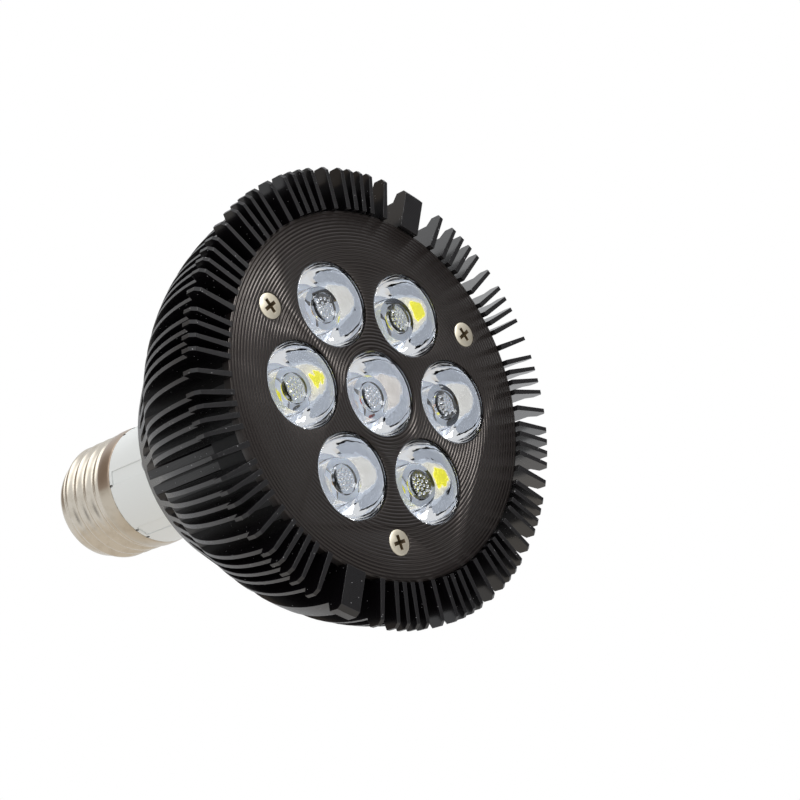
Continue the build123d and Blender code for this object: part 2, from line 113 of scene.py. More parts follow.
def split(inputs: dict) -> tuple[dict, dict]:
    """Part the inputs of a node.

    Args:
        inputs: plain values and sockets, by name or index.

    Returns:
        The plain values, and the sockets.
    """
    links = {key: value for key, value in inputs.items() if isinstance(value, Socket)}
    return {key: value for key, value in inputs.items() if key not in links}, links


def reckon(tree: bpy.types.NodeTree, operation: str, *terms: object, vector: bool = False) -> Socket:
    """Add one maths node.

    Args:
        tree: node tree it goes into.
        operation: Blender's name of the operation.
        terms: plain values or sockets, in the order of the inputs.
        vector: use the vector maths node.

    Returns:
        The socket with the result.
    """
    kind = "ShaderNodeVectorMath" if vector else "ShaderNodeMath"
    made = add_node(tree, kind, {"operation": operation}, *split(dict(enumerate(terms))))
    return made.outputs["Value" if operation in ("LENGTH", "DOT_PRODUCT") else 0]


def mixed(tree: bpy.types.NodeTree, share: object, first: object, second: object, blend: str = "MIX") -> Socket:
    """Mix two colours.

    Args:
        tree: node tree it goes into.
        share: share of the second colour.
        first: first colour.
        second: second colour.
        blend: Blender's name of the blending.

    Returns:
        The socket with the colour.
    """
    parts = split({"Fac": share, "Color1": first, "Color2": second})
    return add_node(tree, "ShaderNodeMixRGB", {"blend_type": blend}, *parts).outputs[0]


def noise(tree: bpy.types.NodeTree, place: Socket, scale: float, detail: float, rough: float = 0.5) -> Socket:
    """Add a noise pattern.

    Args:
        tree: node tree it goes into.
        place: socket with the place on the piece.
        scale: cells in a metre.
        detail: octaves.
        rough: weight of the finer octaves.

    Returns:
        The socket with the pattern.
    """
    values = {"Scale": scale, "Detail": detail, "Roughness": rough}
    return add_node(tree, "ShaderNodeTexNoise", None, values, {"Vector": place}).outputs["Fac"]


def relief(
    tree: bpy.types.NodeTree, height: Socket, strength: float, depth_mm: float, under: Optional[Socket] = None
) -> Socket:
    """Add relief to a surface.

    Args:
        tree: node tree it goes into.
        height: socket with the pattern.
        strength: how strongly it shows.
        depth_mm: its depth.
        under: normal that it is laid over.

    Returns:
        The socket with the new normal.
    """
    values = {"Strength": strength, "Distance": depth_mm * MM}
    made = add_node(tree, "ShaderNodeBump", None, values, {"Height": height})
    if under:
        tree.links.new(under, made.inputs["Normal"])
    return made.outputs[0]


def blank_material(name: str) -> tuple[bpy.types.Material, bpy.types.NodeTree, bpy.types.Node]:
    """Make a material that holds only an output node.

    Args:
        name: name of the material.

    Returns:
        The material, its tree and the output node.
    """
    material = bpy.data.materials.new(name)
    material.use_nodes = True
    tree = material.node_tree
    tree.nodes.clear()
    return material, tree, tree.nodes.new("ShaderNodeOutputMaterial")


def polar(radius: float, degrees: float, z: float = 0.0) -> Vector:
    """Point at a radius and an angle round Z."""
    turn = math.radians(degrees)
    return Vector((radius * math.cos(turn), radius * math.sin(turn), z))


def deselect() -> None:
    """Leave edit mode and deselect every object."""
    if bpy.context.object and bpy.context.object.mode != "OBJECT":
        bpy.ops.object.mode_set(mode="OBJECT")
    bpy.ops.object.select_all(action="DESELECT")


def activate(obj: bpy.types.Object) -> None:
    """Make one object the only selected and active one."""
    deselect()
    obj.select_set(True)
    bpy.context.view_layer.objects.active = obj


def pick(obj: bpy.types.Object, kind: str, wanted: Callable) -> None:
    """Select the vertices or faces that pass a test and leave the object in edit mode.

    Args:
        obj: the active object.
        kind: "VERT" or "FACE".
        wanted: test of one vertex or one face.
    """
    bpy.ops.object.mode_set(mode="EDIT")
    bpy.ops.mesh.select_mode(type=kind)
    bpy.ops.mesh.select_all(action="DESELECT")
    bpy.ops.object.mode_set(mode="OBJECT")
    for element in obj.data.vertices if kind == "VERT" else obj.data.polygons:
        element.select = bool(wanted(element))
    bpy.ops.object.mode_set(mode="EDIT")


def apply_modifier(obj: bpy.types.Object, kind: str, **settings: object) -> None:
    """Add a modifier to a piece and apply it.

    Args:
        obj: the piece.
        kind: Blender's modifier type name.
        settings: properties of the modifier.
    """
    modifier = obj.modifiers.new(kind.lower(), kind)
    for key, value in settings.items():
        setattr(modifier, key, value)
    activate(obj)
    bpy.ops.object.modifier_apply(modifier=modifier.name)


def copied(obj: bpy.types.Object, name: str, move: Vector, turn: float = 0.0) -> bpy.types.Object:
    """Copy a finished piece with its own mesh.

    Args:
        obj: piece to copy, modelled round the origin.
        name: name of the copy.
        move: how far the copy is moved, in metres.
        turn: turn about Z in radians before the move.

    Returns:
        The copy, its place applied.
    """
    other = obj.copy()
    other.data = obj.data.copy()
    other.name = name
    other.data.name = name
    bpy.context.collection.objects.link(other)
    other.data.transform(Matrix.Translation(move) @ Matrix.Rotation(turn, 4, "Z"))
    return other


def lathe(
    name: str,
    profile: Sequence[Pair],
    segments: int,
    closed: bool = True,
    smooth_angle: float = 30.0,
) -> bpy.types.Object:
    """Turn a piece as on a lathe: a circle extruded ring by ring along its profile.

    Args:
        name: name of the piece.
        profile: (radius, height) of each ring in millimetres, never on the axis.
        segments: vertices round each ring.
        closed: cap the first and the last ring; else they are bridged to one another.
        smooth_angle: edges flatter than this, in degrees, are shaded smooth.

    Returns:
        The turned piece about Z.
    """
    deselect()
    radius, height = profile[0]
    bpy.ops.mesh.primitive_circle_add(vertices=segments, radius=radius * MM, location=(0, 0, height * MM))
    obj = bpy.context.object
    obj.name = name
    obj.data.name = name
    bpy.ops.object.transform_apply(location=True, rotation=True, scale=True)
    bpy.ops.object.mode_set(mode="EDIT")
    bpy.ops.mesh.select_mode(type="EDGE")
    bpy.ops.mesh.select_all(action="SELECT")
    if closed:
        bpy.ops.mesh.edge_face_add()
        bpy.ops.mesh.select_all(action="SELECT")
        bpy.ops.mesh.region_to_loop()
    for (r0, z0), (r1, z1) in zip(profile, profile[1:]):
        bpy.ops.mesh.extrude_edges_move(TRANSFORM_OT_translate={"value": (0, 0, (z1 - z0) * MM)})
        share = r1 / r0
        bpy.ops.transform.resize(value=(share, share, 1), center_override=(0, 0, z1 * MM))
    if closed:
        bpy.ops.mesh.edge_face_add()
    else:
        bpy.ops.mesh.select_all(action="DESELECT")
        bpy.ops.mesh.select_non_manifold()
        bpy.ops.mesh.bridge_edge_loops()
    bpy.ops.mesh.select_all(action="SELECT")
    bpy.ops.mesh.normals_make_consistent(inside=False)
    bpy.ops.object.mode_set(mode="OBJECT")
    bpy.ops.object.shade_smooth_by_angle(angle=math.radians(smooth_angle))
    return obj


def arc_points(centre: Pair, radius: float, start: float, end: float, count: int) -> list[Pair]:
    """Points on an arc of a profile.

    Args:
        centre: (radius, height) of the arc's centre.
        radius: the arc's own radius.
        start: first angle in degrees, 0 outward and 90 up.
        end: last angle in degrees.
        count: number of steps.

    Returns:
        The points, both ends included.
    """
    turns = [math.radians(start + (end - start) * k / count) for k in range(count + 1)]
    return [(centre[0] + radius * math.cos(a), centre[1] + radius * math.sin(a)) for a in turns]


def seat(piece: bpy.types.Object, slot: str, *stands_for: str) -> None:
    """Fix a new piece to the lamp.

    Args:
        piece: the finished piece.
        slot: the record's material slot of the piece; not used.
        stands_for: CAD nodes that it replaces.
    """
    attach(piece, "root")
    if stands_for:
        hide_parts(*stands_for)


# Finishes


class Spot(Enum):
    """Kind of light source behind a lens."""

    WHITE = "white"
    BLUE = "blue"
    RED = "red"


@dataclass(frozen=True)
class BlackAnodisedSink:
    """Black anodised aluminium, extruded and then turned.

    The walls of the fins are glossy black; the turned edges carry fine rings that catch a grey
    sheen; the sharp edges are broken and glint, and a few specks of dust lie on everything.
    """

    name: str = "black_anodised_sink"
    wall: str = "#0d0b0e"
    turned: str = "#1b1a1c"
    dust: str = "#a9a9ab"
    oxide_ior: float = 1.62
    edge_mm: float = 0.12
    ring_pitch_mm: float = 0.35
    streak_mm: float = 0.5
    streaks_per_metre: float = 12.0
    clouds_per_metre: float = 900.0
    mottle: float = 0.35
    turned_roughness: float = 0.32
    wall_roughness: float = 0.2
    dust_cell_mm: float = 1.1
    speck_radius: float = 0.085
    bare_cells: float = 0.45

    def build(self) -> bpy.types.Material:
        """Build the material."""
        material, tree, output = blank_material(self.name)
        place = add_node(tree, "ShaderNodeTexCoord").outputs["Object"]
        geometry = add_node(tree, "ShaderNodeNewGeometry")
        # the walls of the fins face along the rim
        flat = reckon(tree, "MULTIPLY", place, (1, 1, 0), vector=True)
        across = reckon(tree, "CROSS_PRODUCT", (0, 0, 1), flat, vector=True)
        across = reckon(tree, "NORMALIZE", across, vector=True)
        facing = reckon(tree, "DOT_PRODUCT", across, geometry.outputs["True Normal"], vector=True)
        facing = reckon(tree, "ABSOLUTE", facing)
        is_wall = add_node(
            tree, "ShaderNodeMapRange", {"clamp": True}, {"From Min": 0.55, "From Max": 0.75}, {"Value": facing}
        ).outputs["Result"]
        # long streaks that the extrusion die leaves along the fins
        fine = 1 / (self.streak_mm * MM)
        streaks = add_node(
            tree, "ShaderNodeMapping", None, {"Scale": (fine, fine, self.streaks_per_metre)}, {"Vector": place}
        ).outputs[0]
        streak = noise(tree, streaks, 1.0, 3.0, 0.6)
        wall_tint = mixed(tree, self.mottle, linear(self.wall), streak, "MULTIPLY")
        # fine rings of the turning tool
        radius = reckon(tree, "LENGTH", flat, vector=True)
        height = add_node(tree, "ShaderNodeSeparateXYZ", None, None, {0: place}).outputs["Z"]
        along = reckon(tree, "SUBTRACT", radius, height)
        rings = reckon(tree, "SINE", reckon(tree, "MULTIPLY", along, 2 * math.pi / (self.ring_pitch_mm * MM)))
        cloud = noise(tree, place, self.clouds_per_metre, 2.0)
        turned_tint = mixed(tree, self.mottle, linear(self.turned), cloud, "MULTIPLY")
        body = mixed(tree, is_wall, turned_tint, wall_tint)
        # sparse dust: only some of the cells carry a speck
        scale = 1 / (self.dust_cell_mm * MM)
        cells = add_node(tree, "ShaderNodeTexVoronoi", {"feature": "F1"}, {"Scale": scale}, {"Vector": place})
        near = reckon(tree, "LESS_THAN", cells.outputs["Distance"], self.speck_radius)
        tone = add_node(tree, "ShaderNodeSeparateColor", None, None, {0: cells.outputs["Color"]}).outputs[0]
        few = reckon(tree, "GREATER_THAN", tone, self.bare_cells)
        colour = mixed(tree, reckon(tree, "MULTIPLY", near, few), body, linear(self.dust))
        broken = add_node(tree, "ShaderNodeBevel", {"samples": 4}, {"Radius": self.edge_mm * MM}).outputs[0]
        is_turned = reckon(tree, "SUBTRACT", 1.0, is_wall)
        normal = relief(tree, reckon(tree, "MULTIPLY", rings, is_turned), 0.3, 0.04, broken)
        normal = relief(tree, streak, 0.15, 0.03, normal)
        gloss = add_node(
            tree, "ShaderNodeMapRange", None,
            {"To Min": self.turned_roughness, "To Max": self.wall_roughness}, {"Value": is_wall},
        ).outputs["Result"]
        shader = add_node(
            tree, "ShaderNodeBsdfPrincipled", None, {"IOR": self.oxide_ior},
            {"Base Color": colour, "Roughness": gloss, "Normal": normal},
        )
        tree.links.new(shader.outputs[0], output.inputs["Surface"])
        return material


@dataclass(frozen=True)
class BlackAnodisedPlate:
    """Black anodised aluminium, face-turned: deep concentric grooves that glint along one line.

    The real grooves are a little finer than `ring_pitch_mm`, but would not show in a render.
    """

    name: str = "black_anodised_plate"
    colour: str = "#181413"
    # crest tint lighter than the valley colour: painted shade in the groove valleys
    painted_crest_light: str = "#262221"
    oxide_ior: float = 1.62
    sheen: str = "#e4d9d2"
    roughness: float = 0.28
    ring_pitch_mm: float = 0.72
    groove_mm: float = 0.055
    grains_per_metre: float = 2600.0
    mottle: float = 0.4

    def build(self) -> bpy.types.Material:
        """Build the material."""
        material, tree, output = blank_material(self.name)
        place = add_node(tree, "ShaderNodeTexCoord").outputs["Object"]
        flat = reckon(tree, "MULTIPLY", place, (1, 1, 0), vector=True)
        radius = reckon(tree, "LENGTH", flat, vector=True)
        rings = reckon(tree, "SINE", reckon(tree, "MULTIPLY", radius, 2 * math.pi / (self.ring_pitch_mm * MM)))
        # share of the crest: crests take the lighter tint, valleys the darker one, as painted shade in the grooves
        painted_crest_light = add_node(
            tree, "ShaderNodeMapRange", None, {"From Min": -1.0, "From Max": 1.0}, {"Value": rings}
        ).outputs["Result"]
        grain = noise(tree, place, self.grains_per_metre, 3.0, 0.7)
        tint = mixed(tree, painted_crest_light, linear(self.colour), linear(self.painted_crest_light))
        tint = mixed(tree, self.mottle, tint, grain, "MULTIPLY")
        normal = relief(tree, grain, 0.5, 0.03, relief(tree, rings, 1.0, self.groove_mm))
        shader = add_node(
            tree, "ShaderNodeBsdfPrincipled", None,
            {"Roughness": self.roughness, "IOR": self.oxide_ior, "Specular Tint": linear(self.sheen)},
            {"Base Color": tint, "Normal": normal},
        )
        tree.links.new(shader.outputs[0], output.inputs["Surface"])
        return material


@dataclass(frozen=True)
class ClearMoulding:
    """Clear optical plastic, polished mould: bright rims, bent images of what lies behind."""

    name: str
    tint: str = "#fbfdff"
    ior: float = 1.49
    wave: float = 0.2
    waves_per_metre: float = 330.0

    def build(self) -> bpy.types.Material:
        """Build the material."""
        material, tree, output = blank_material(self.name)
        place = add_node(tree, "ShaderNodeTexCoord").outputs["Object"]
        # slow waviness of the moulded surface
        wave = noise(tree, place, self.waves_per_metre, 1.5)
        shader = add_node(
            tree, "ShaderNodeBsdfPrincipled", None,
            {"Base Color": linear(self.tint), "Roughness": 0.0, "IOR": self.ior, "Transmission Weight": 1.0},
            {"Normal": relief(tree, wave, self.wave, 0.3)},
        )
        tree.links.new(shader.outputs[0], output.inputs["Surface"])
        return material


@dataclass(frozen=True)
class Moulding:
    """Moulded or sleeved plastic, glass or rubber: one colour, slight mottling, fine mould grain.

    Its emission is a painted glow, which stands in for the light that a lens in front of the piece gathers on it.
    """

    name: str
    colour: str
    roughness: float = 0.45
    mottle: float = 0.12
    grain_mm: float = 0.4
    bump: float = 0.15
    edge_mm: float = 0.0
    # strength of the painted glow: emission that stands in for light gathered by a lens
    painted_glow: float = 0.0
    clouds_per_metre: float = 60.0

    def build(self) -> bpy.types.Material:
        """Build the material."""
        material, tree, output = blank_material(self.name)
        place = add_node(tree, "ShaderNodeTexCoord").outputs["Object"]
        grain = noise(tree, place, 1 / (self.grain_mm * MM), 3.0)
        cloud = noise(tree, place, self.clouds_per_metre, 2.0)
        tint = mixed(tree, self.mottle, linear(self.colour), cloud, "MULTIPLY")
        gloss = add_node(
            tree, "ShaderNodeMapRange", None,
            {"To Min": max(self.roughness - 0.05, 0.02), "To Max": self.roughness + 0.05}, {"Value": grain},
        ).outputs["Result"]
        soft = None
        if self.edge_mm:
            soft = add_node(tree, "ShaderNodeBevel", {"samples": 4}, {"Radius": self.edge_mm * MM}).outputs[0]
        normal = relief(tree, grain, self.bump, 0.03, soft)
        # painted glow: the piece's own tint is emitted as painted light
        shader = add_node(
            tree, "ShaderNodeBsdfPrincipled", None, {"Emission Strength": self.painted_glow},
            {"Base Color": tint, "Roughness": gloss, "Normal": normal, "Emission Color": tint},
        )
        tree.links.new(shader.outputs[0], output.inputs["Surface"])
        return material


@dataclass(frozen=True)
class PlatedMetal:
    """Drawn or turned metal under a thin plating: a soft metal gleam with faint wear and stain.

    If one is given, a darker, browner colour is painted on one side as a painted dark reflection; it lies toward an
    angle and spreads to both sides.
    """

    name: str
    colour: str
    stain: str
    roughness: float = 0.28
    wear_mm: float = 3.0
    # colour of a painted dark reflection on one side, the angle it lies toward and how far it spreads
    painted_dark_side: Optional[str] = None
    painted_dark_toward: float = 218.0
    painted_dark_spread: float = 45.0
    fine_per_metre: float = 2200.0

    def build(self) -> bpy.types.Material:
        """Build the material."""
        material, tree, output = blank_material(self.name)
        place = add_node(tree, "ShaderNodeTexCoord").outputs["Object"]
        wear = noise(tree, place, 1 / (self.wear_mm * MM), 4.0, 0.6)
        fine = noise(tree, place, self.fine_per_metre, 2.0)
        shade = add_node(
            tree, "ShaderNodeMapRange", {"clamp": True}, {"From Min": 0.45, "From Max": 0.75, "To Max": 0.45},
            {"Value": wear},
        ).outputs["Result"]
        tint = mixed(tree, shade, linear(self.colour), linear(self.stain))
        # painted dark reflection on one side
        if self.painted_dark_side:
            tint = self.paint_dark_side(tree, place, tint)
        gloss = add_node(
            tree, "ShaderNodeMapRange", None, {"To Min": self.roughness - 0.06, "To Max": self.roughness + 0.08},
            {"Value": wear},
        ).outputs["Result"]
        shader = add_node(
            tree, "ShaderNodeBsdfPrincipled", None, {"Metallic": 1.0},
            {"Base Color": tint, "Roughness": gloss, "Normal": relief(tree, fine, 0.08, 0.02)},
        )
        tree.links.new(shader.outputs[0], output.inputs["Surface"])
        return material

    def paint_dark_side(self, tree: bpy.types.NodeTree, place: Socket, tint: Socket) -> Socket:
        """Paint one side of the piece darker and browner: a painted dark reflection.

        Args:
            tree: node tree of the material.
            place: socket with the place on the piece.
            tint: socket with the colour so far.

        Returns:
            The socket with the colour, painted darker on that side.
        """
        outward = reckon(tree, "MULTIPLY", place, (1, 1, 0), vector=True)
        outward = reckon(tree, "NORMALIZE", outward, vector=True)
        near = reckon(tree, "DOT_PRODUCT", outward, tuple(polar(1.0, self.painted_dark_toward)), vector=True)
        limit = math.cos(math.radians(self.painted_dark_spread))
        share = add_node(
            tree, "ShaderNodeMapRange", {"interpolation_type": "SMOOTHSTEP"},
            {"From Min": limit - 0.03, "From Max": limit + 0.03}, {"Value": near},
        ).outputs["Result"]
        return mixed(tree, share, tint, linear(self.painted_dark_side))


FINISHES = {
    finish.name: finish
    for finish in (
        BlackAnodisedSink(),
        BlackAnodisedPlate(),
        ClearMoulding("lens_acrylic"),
        ClearMoulding("emitter_dome", "#ffffff", 1.41, 0.05),
        # black ABS of the tray: soft black
        Moulding("black_plastic", "#18181a", 0.5),
        # white solder mask on the metal-core board: even, slightly glossy white, with a painted glow
        Moulding("board_white", "#d3dae6", 0.35, 0.05, painted_glow=0.5),
        # silicone pad: dull grey
        Moulding("grey_pad", "#8d9094", 0.8, 0.1),
        # white ABS of the housing: clean cool white with a satin face and soft corners
        Moulding("white_plastic", "#f6f9f7", 0.4, 0.04, 0.5, 0.1, 0.25),
        # black vitrite glass in the end of the cap: glossy black
        Moulding("black_glass", "#101013", 0.12, 0.1, 0.8, 0.05),
        # phenolic laminate of the driver board: tan
        Moulding("driver_laminate", "#b79a5b", 0.55),
        # polyester tape on the transformer: glossy yellow
        Moulding("transformer_tape", "#d9b63a", 0.3),
        # shrink sleeve of the can capacitors: glossy blue black
        Moulding("capacitor_sleeve", "#1d2430", 0.25),
        # epoxy of the film capacitor: ochre
        Moulding("film_box", "#b98a24", 0.35),
        # ferrite: dark dull grey
        Moulding("ferrite", "#2d2d2e", 0.7),
        # moulded chip body: dull black
        Moulding("chip_black", "#161617", 0.6),
        # insulation of the leads: glossy red, glossy black
        Moulding("red_lead", "#a41a15", 0.35),
        Moulding("black_lead", "#171717", 0.35),
        # emitter bodies: white ceramic, for each colour of source, with a painted glow
        Moulding("emitter_white", "#e9e5d8", 0.4, painted_glow=0.7),
        Moulding("emitter_blue", "#e5e3de", 0.4, painted_glow=0.7),
        Moulding("emitter_red", "#e6e0da", 0.4, painted_glow=0.65),
        # phosphor in silicone: strong lemon yellow, with a painted glow
        Moulding("phosphor", "#f4ee48", 0.45, 0.1, painted_glow=0.8),
        # bare blue chip under its gold wires: pale gold, with a painted glow
        Moulding("bare_chip", "#cfae78", 0.3, painted_glow=0.5),
        # bare red chip: dull orange red, with a painted glow
        Moulding("red_chip", "#c4623e", 0.35, painted_glow=0.5),
        # nickel on the face screws: warm cream
        PlatedMetal("nickel_screws", "#f0e8d5", "#c4b99e", 0.48, 1.5),
        # dark brown painted into the recess of a screw: painted shade
        Moulding("screw_recess", "#6a5a40", 0.5),
        # zinc on the hidden screws: cool grey
        PlatedMetal("steel_screws", "#b4b5b8", "#8c8d90", 0.35),
        PlatedMetal("rear_screws", "#b4b5b8", "#8c8d90", 0.35),
        # satin nickel on the drawn brass shell: warm grey
        PlatedMetal("nickel_shell", "#dfd7c9", "#b9ae9b", 0.2),
        # the same on the skirt, with a painted dark reflection on one side
        PlatedMetal("nickel_skirt", "#d3c9b8", "#b3a792", 0.3, painted_dark_side="#b9a795"),
        # tinned contact: soft grey
        PlatedMetal("contact_metal", "#bdb9b0", "#8f8a7f", 0.38),
        # pit of a crimping punch: dark brown grey, painted shade in the pit
        Moulding("punch_mark", "#3a3733", 0.5),
    )
}


class Paint:
    """Keeps one built material for each finish."""

    made: dict[str, bpy.types.Material] = {}

    @classmethod
    def get(cls, name: str) -> bpy.types.Material:
        """Return the material of that name, built at its first use."""
        if name not in cls.made:
            cls.made[name] = FINISHES[name].build()
        return cls.made[name]

    @classmethod
    def dress(cls, obj: bpy.types.Object, name: str) -> None:
        """Give the whole object one finish."""
        obj.data.materials.clear()
        obj.data.materials.append(cls.get(name))


# Optics


@dataclass
class SpotOptic:
    """A clear spot lens over its light source, modelled once about the origin and copied.

    Heights are counted from the face of the front plate, upward into the lamp.
    """

    outer_mm: float = 8.72
    face_mm: float = 0.2
    rim_mm: float = 0.18
    flange_mm: float = 1.0
    flange_edge_mm: float = 0.1
    neck_step_mm: float = 0.05
    neck_mm: float = 8.4
    seat_inner_mm: float = 8.48
    seat_outer_mm: float = 9.67
    seat_low_mm: float = 2.0
    seat_high_mm: float = 3.0
    back_mm: float = 12.0
    back_radius_mm: float = 5.9
    bulge_power: float = 1.55
    pocket_radius_mm: float = 4.9
    ceiling_radius_mm: float = 4.4
    ceiling_mm: float = 5.2
    well_radius_mm: float = 2.97
    well_edge_mm: float = 0.12
    well_mm: float = 3.85
    crown_mm: float = 0.45
    board_mm: float = 12.6
    base_mm: float = 3.85
    base_height_mm: float = 0.8
    dome_mm: float = 2.7
    dome_height_mm: float = 2.3
    phosphor_mm: float = 2.9
    chip_mm: float = 1.3
    chip_height_mm: float = 0.26
    chip_edge_mm: float = 0.06
    bead_mm: float = 0.36
    bead_pitch_mm: float = 0.92
    segments: int = 128
    pieces: dict[str, bpy.types.Object] = field(default_factory=dict)

    def crown_height(self, share: float) -> float:
        """Height of the pocket's crown at a share of the well's radius."""
        return self.well_mm + self.crown_mm * (1 - share * share)

    def lens_profile(self) -> list[Pair]:
        """Profile of the lens from its flat front, round its rim, to the crown of its pocket."""
        points: list[Pair] = [(AXIS_MM, self.face_mm)]
        corner = (self.outer_mm - self.rim_mm, self.face_mm + self.rim_mm)
        points += arc_points(corner, self.rim_mm, -90, 0, 4)
        edge = self.flange_edge_mm
        points += [(self.outer_mm, self.flange_mm - edge), (self.outer_mm - edge, self.flange_mm)]
        low = self.flange_mm + self.neck_step_mm
        points.append((self.neck_mm, low))
        # the reflecting side bulges from the flange down to the back
        steps = 20
        for k in range(1, steps + 1):
            share = k / steps
            radius = self.neck_mm + (self.back_radius_mm - self.neck_mm) * share**self.bulge_power
            points.append((radius, low + (self.back_mm - self.flange_mm - self.neck_step_mm) * share))
        points += [(self.pocket_radius_mm, self.back_mm), (self.ceiling_radius_mm, self.ceiling_mm)]
        edge = self.well_edge_mm
        points += [(self.well_radius_mm + edge, self.ceiling_mm), (self.well_radius_mm, self.ceiling_mm - edge)]
        for k in (1.0, 0.85, 0.7, 0.55, 0.4, 0.25, 0.1):
            points.append((self.well_radius_mm * k, self.crown_height(k)))
        points.append((AXIS_MM, self.well_mm + self.crown_mm))
        return points

    def lens(self) -> bpy.types.Object:
        """Turned lens with fine beads moulded on the crown of its pocket, which make it glitter."""
        lens = lathe("lens", self.lens_profile(), self.segments)
        size = self.bead_mm
        turns = [math.radians(15.0 * k) for k in range(1, 6)]
        profile = [(size * 0.8, -0.4), (size, -0.25), (size, 0.0)]
        profile += [(size * math.cos(a), size * 0.7 * math.sin(a)) for a in turns]
        profile.append((0.02, size * 0.7))
        bead = lathe("bead", profile, 16)
        places = [Vector((0, 0, 0))]
        places += [polar(self.bead_pitch_mm * MM, 60.0 * k) for k in range(6)]
        places += [polar(self.bead_pitch_mm * 2 * MM, 30.0 * k) for k in range(12)]
        beads = []
        for k, place in enumerate(places):
            height = self.crown_height(place.length / (self.well_radius_mm * MM))
            beads.append(copied(bead, f"bead_{k}", place + Vector((0, 0, height * MM))))
        bpy.data.objects.remove(bead)
        activate(beads[0])
        for other in beads:
            other.select_set(True)
        bpy.ops.object.join()
        joined = bpy.context.object
        apply_modifier(lens, "BOOLEAN", operation="UNION", object=joined, solver="EXACT")
        bpy.data.objects.remove(joined)
        bpy.ops.object.shade_smooth_by_angle(angle=math.radians(30))
        return lens

    def build(self) -> None:
        """Model the lens, the source's body, its phosphor or chip and its dome."""
        self.pieces["lens"] = self.lens()
        ring = [(self.seat_inner_mm, self.seat_low_mm + 0.1), (self.seat_inner_mm + 0.1, self.seat_low_mm)]
        ring += [(self.seat_outer_mm, self.seat_low_mm), (self.seat_outer_mm, self.seat_high_mm)]
        ring += [(self.seat_inner_mm, self.seat_high_mm)]
        self.pieces["lens_ring"] = lathe("lens_ring", ring, 64, closed=False)
        rim = self.board_mm - self.base_height_mm
        body = [(AXIS_MM, self.board_mm), (self.base_mm, self.board_mm), (self.base_mm, rim + 0.2)]
        body += [(self.base_mm - 0.2, rim), (AXIS_MM, rim)]
        self.pieces["base"] = lathe("base", body, 48)
        self.pieces["dome"] = self.dome(rim)
        self.pieces["chip"] = self.chip(rim)
        edge = self.phosphor_mm
        phosphor = [(AXIS_MM, rim - 0.02), (edge, rim - 0.02), (edge, rim - 0.2), (edge - 0.1, rim - 0.3)]
        phosphor.append((AXIS_MM, rim - 0.34))
        self.pieces["phosphor"] = lathe("phosphor", phosphor, 48)

    def dome(self, rim: float) -> bpy.types.Object:
        """Clear dome over the source.

        Args:
            rim: height of the front of the source's body in millimetres.

        Returns:
            The dome, closed at its foot.
        """
        # its foot sinks into the body, so that no air gap mirrors under it
        low = rim + 0.05
        profile = [(AXIS_MM, low), (self.dome_mm, low)]
        for k in range(1, 10):
            turn = math.radians(9.0 * k)
            profile.append((self.dome_mm * math.cos(turn), low - self.dome_height_mm * math.sin(turn)))
        profile.append((AXIS_MM, low - self.dome_height_mm))
        return lathe("dome", profile, 48)

    def chip(self, floor: float) -> bpy.types.Object:
        """Square chip on the face of the source's body.

        Args:
            floor: height of that face in millimetres.

        Returns:
            The chip with its bevelled edge.
        """
        deselect()
        width, height = self.chip_mm * MM, self.chip_height_mm * MM
        bpy.ops.mesh.primitive_cube_add(
            size=1, location=(0, 0, floor * MM - height / 2), scale=(width, width, height)
        )
        obj = bpy.context.object
        obj.name = "chip"
        bpy.ops.object.transform_apply(location=True, rotation=True, scale=True)
        apply_modifier(obj, "BEVEL", width=self.chip_edge_mm * MM, segments=2)
        return obj

    def place(self, where: str, centre: Vector, kind: Spot, turn: float) -> None:
        """Copy the set to one hole of the plate.

        Args:
            where: the hole's name, as in the node names.
            centre: its centre in metres.
            kind: the light source behind it.
            turn: turn of the source in radians.
        """
        slot = "emitter_" + kind.value
        core = "phosphor" if kind is Spot.WHITE else "chip"
        core_finish = {Spot.WHITE: "phosphor", Spot.BLUE: "bare_chip", Spot.RED: "red_chip"}[kind]
        rows = (
            ("lens", "lens_acrylic", "lens_acrylic", ("lens_" + where,)),
            ("lens_ring", "lens_acrylic", "lens_acrylic", ()),
            ("base", slot, slot, ("emitter_" + where,)),
            ("dome", "emitter_dome", "lens_acrylic", ()),
            (core, core_finish, slot, ()),
        )
        for part, finish, record_slot, stands_for in rows:
            piece = copied(self.pieces[part], f"{part}_{where}_piece", centre, turn)
            Paint.dress(piece, finish)
            seat(piece, record_slot, *stands_for)

    def clear(self) -> None:
        """Remove the patterns that were copied."""
        for source in self.pieces.values():
            bpy.data.objects.remove(source)
        self.pieces = {}


@dataclass
class LensField:
    """The seven lenses: one in the middle, six round it."""

    circle_mm: float = 20.12
    order: tuple[tuple[str, Spot], ...] = (
        ("right", Spot.BLUE), ("upper_right", Spot.WHITE), ("upper_left", Spot.BLUE),
        ("left", Spot.WHITE), ("lower_left", Spot.BLUE), ("lower_right", Spot.WHITE),
    )
    middle_turn: float = 0.3
    first_turn: float = 0.5
    turn_step: float = 0.7

    def build(self) -> None:
        """Place the seven optics."""
        optic = SpotOptic()
        optic.build()
        optic.place("middle", Vector((0, 0, FACE_MM * MM)), Spot.RED, self.middle_turn)
        for k, (where, kind) in enumerate(self.order):
            centre = polar(self.circle_mm * MM, 60.0 * k, FACE_MM * MM)
            optic.place(where, centre, kind, self.first_turn + self.turn_step * k)
        optic.clear()


# Plate and screws


